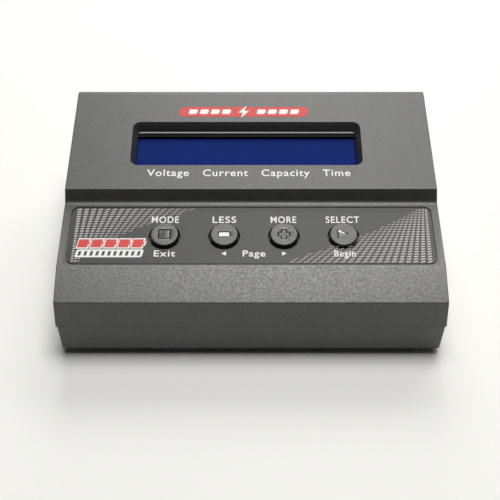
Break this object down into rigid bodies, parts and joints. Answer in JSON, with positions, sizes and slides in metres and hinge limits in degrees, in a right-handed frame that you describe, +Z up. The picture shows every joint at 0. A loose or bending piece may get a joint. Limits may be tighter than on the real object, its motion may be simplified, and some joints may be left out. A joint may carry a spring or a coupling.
{
  "type": "balance battery charger",
  "caption": "Stepped pocket charger for model batteries, with a character display, push keys, output and balance sockets, supply jack and a cooling fan.",
  "frame": {"origin": "on the surface that the feet stand on, at the middle of the case's outline", "axes": "+X to the user's right along the case's width, +Y from the keypad to the back, +Z up"},
  "size_m": [0.1068, 0.0752, 0.0371],
  "materials": {
    "case": "fine-textured black plastic, looks grey where light grazes it",
    "key": "smooth dark grey plastic with a sunk mark",
    "overlay": "printed polycarbonate film, satin",
    "foot": "matt black rubber",
    "screw": "zinc-plated steel",
    "bezel": "satin black enamel on steel",
    "display": "blue liquid crystal display behind polished glass",
    "diffuser": "milky white light guide",
    "board": "glass-fibre circuit board with green solder mask",
    "switch_shell": "tactile switch shell",
    "switch_plunger": "black plastic",
    "heat_sink": "extruded aluminium",
    "epoxy": "moulded epoxy package",
    "buzzer": "black plastic",
    "port": "black connector plastic",
    "ferrite": "coated powder core",
    "winding": "enamelled copper wire",
    "capacitor": "shrink sleeve over an aluminium can",
    "balance_socket": "off-white nylon",
    "red_insulator": "red plastic",
    "black_insulator": "black plastic",
    "contact": "gold-flashed brass",
    "fan": "black fan plastic"
  },
  "bodies": {
    "housing": {"balance_board": "board", "balance_socket_3_pin": "balance_socket", "balance_socket_4_pin": "balance_socket", "balance_socket_5_pin": "balance_socket", "balance_socket_6_pin": "balance_socket", "balance_socket_7_pin": "balance_socket", "bottom_case": "case", "buzzer": "buzzer", "capacitor_1": "capacitor", "capacitor_2": "capacitor", "case_screw_back_left": "screw", "case_screw_back_right": "screw", "case_screw_front_left": "screw", "case_screw_front_right": "screw", "data_port": "port", "decrease_switch_body": "switch_shell", "display_backlight": "diffuser", "display_bezel": "bezel", "display_board": "board", "display_glass": "display", "display_screw_1": "screw", "display_screw_2": "screw", "display_screw_3": "screw", "display_screw_4": "screw", "fan_frame": "fan", "foot_back_left": "foot", "foot_back_right": "foot", "foot_front_left": "foot", "foot_front_right": "foot", "heat_sink": "heat_sink", "increase_switch_body": "switch_shell", "inductor_core": "ferrite", "inductor_winding": "winding", "input_jack": "port", "key_board": "board", "keypad_overlay": "overlay", "main_board": "board", "microcontroller": "epoxy", "output_sleeve_negative": "contact", "output_sleeve_positive": "contact", "output_socket_negative": "black_insulator", "output_socket_positive": "red_insulator", "power_transistor_1": "epoxy", "power_transistor_2": "epoxy", "power_transistor_3": "epoxy", "power_transistor_4": "epoxy", "start_switch_body": "switch_shell", "stop_switch_body": "switch_shell", "top_cover": "case"},
    "stop_button": {"stop_key": "key"},
    "stop_switch": {"stop_switch_plunger": "switch_plunger"},
    "decrease_button": {"decrease_key": "key"},
    "decrease_switch": {"decrease_switch_plunger": "switch_plunger"},
    "increase_button": {"increase_key": "key"},
    "increase_switch": {"increase_switch_plunger": "switch_plunger"},
    "start_button": {"start_key": "key"},
    "start_switch": {"start_switch_plunger": "switch_plunger"},
    "fan": {"fan_rotor": "fan"}
  },
  "joints": [
    {"name": "stop_press", "type": "slide", "parent": "housing", "child": "stop_button", "axis": [0, 0.1271, -0.9919], "range_m": [0, 0.0004], "stiffness_N_per_m": 600, "springref_m": -0.0006},
    {"name": "stop_switch_travel", "type": "slide", "parent": "housing", "child": "stop_switch", "axis": [0, 0.1271, -0.9919], "range_m": [0, 0.0004]},
    {"name": "decrease_press", "type": "slide", "parent": "housing", "child": "decrease_button", "axis": [0, 0.1271, -0.9919], "range_m": [0, 0.0004], "stiffness_N_per_m": 600, "springref_m": -0.0006},
    {"name": "decrease_switch_travel", "type": "slide", "parent": "housing", "child": "decrease_switch", "axis": [0, 0.1271, -0.9919], "range_m": [0, 0.0004]},
    {"name": "increase_press", "type": "slide", "parent": "housing", "child": "increase_button", "axis": [0, 0.1271, -0.9919], "range_m": [0, 0.0004], "stiffness_N_per_m": 600, "springref_m": -0.0006},
    {"name": "increase_switch_travel", "type": "slide", "parent": "housing", "child": "increase_switch", "axis": [0, 0.1271, -0.9919], "range_m": [0, 0.0004]},
    {"name": "start_press", "type": "slide", "parent": "housing", "child": "start_button", "axis": [0, 0.1271, -0.9919], "range_m": [0, 0.0004], "stiffness_N_per_m": 600, "springref_m": -0.0006},
    {"name": "start_switch_travel", "type": "slide", "parent": "housing", "child": "start_switch", "axis": [0, 0.1271, -0.9919], "range_m": [0, 0.0004]},
    {"name": "fan_spin", "type": "hinge", "parent": "housing", "child": "fan", "pos_m": [-0.0472, 0.01175, 0.0176], "axis": [1, 0, 0], "continuous": true}
  ],
  "couplings": [
    {"joint": "stop_switch_travel", "follows": "stop_press", "ratio": 1},
    {"joint": "decrease_switch_travel", "follows": "decrease_press", "ratio": 1},
    {"joint": "increase_switch_travel", "follows": "increase_press", "ratio": 1},
    {"joint": "start_switch_travel", "follows": "start_press", "ratio": 1}
  ]
}
